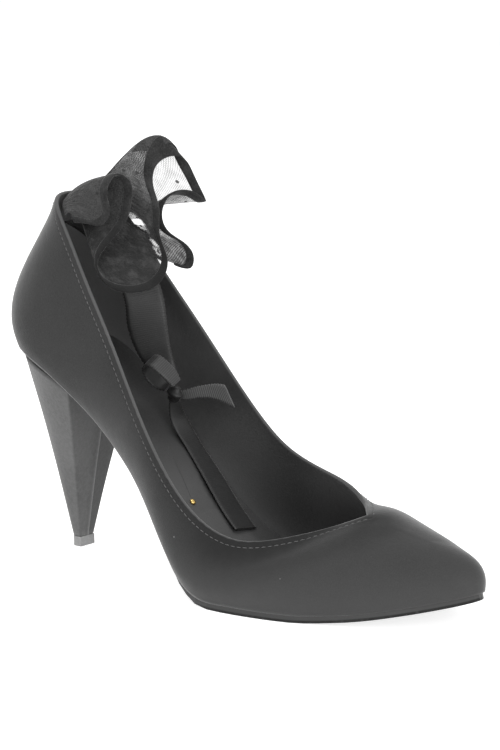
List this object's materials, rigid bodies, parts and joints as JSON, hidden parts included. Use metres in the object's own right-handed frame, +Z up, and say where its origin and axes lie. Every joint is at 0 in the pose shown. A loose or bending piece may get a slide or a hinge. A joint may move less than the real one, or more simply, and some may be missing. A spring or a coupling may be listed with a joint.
{
  "type": "high-heeled court shoe",
  "caption": "Right pointed-toe pump with a covered cone heel, hollow satin upper, sheer ruffled cuff bound in velvet at the back of the collar, and a knotted grosgrain ribbon tie.",
  "frame": {"origin": "on the floor under the middle of the shoe's bounding box", "axes": "+X to the toe, +Y to the inner (medial) side, +Z up"},
  "size_m": [0.2304, 0.0826, 0.1739],
  "materials": {
    "upper_satin": "matt satin with a soft sheen",
    "sole_black": "smooth, semi-matt",
    "insole_grey": "smooth, matt",
    "heel_cover": "short nap",
    "tip_grey": "matt",
    "mesh_grey": "sheer dotted mesh",
    "velvet": "soft pile",
    "grosgrain": "ribbed, slight sheen",
    "brass": "polished"
  },
  "bodies": {
    "root": {"upper": "upper_satin", "outsole": "sole_black", "insole": "insole_grey", "heel": "heel_cover", "top_piece": "tip_grey", "ruffle": "mesh_grey", "ruffle_hem": "velvet", "ribbon_strap": "grosgrain", "ribbon_loop": "grosgrain", "ribbon_short_end": "grosgrain", "ribbon_tail": "grosgrain", "ribbon_knot": "grosgrain", "stud": "brass"}
  },
  "joints": []
}
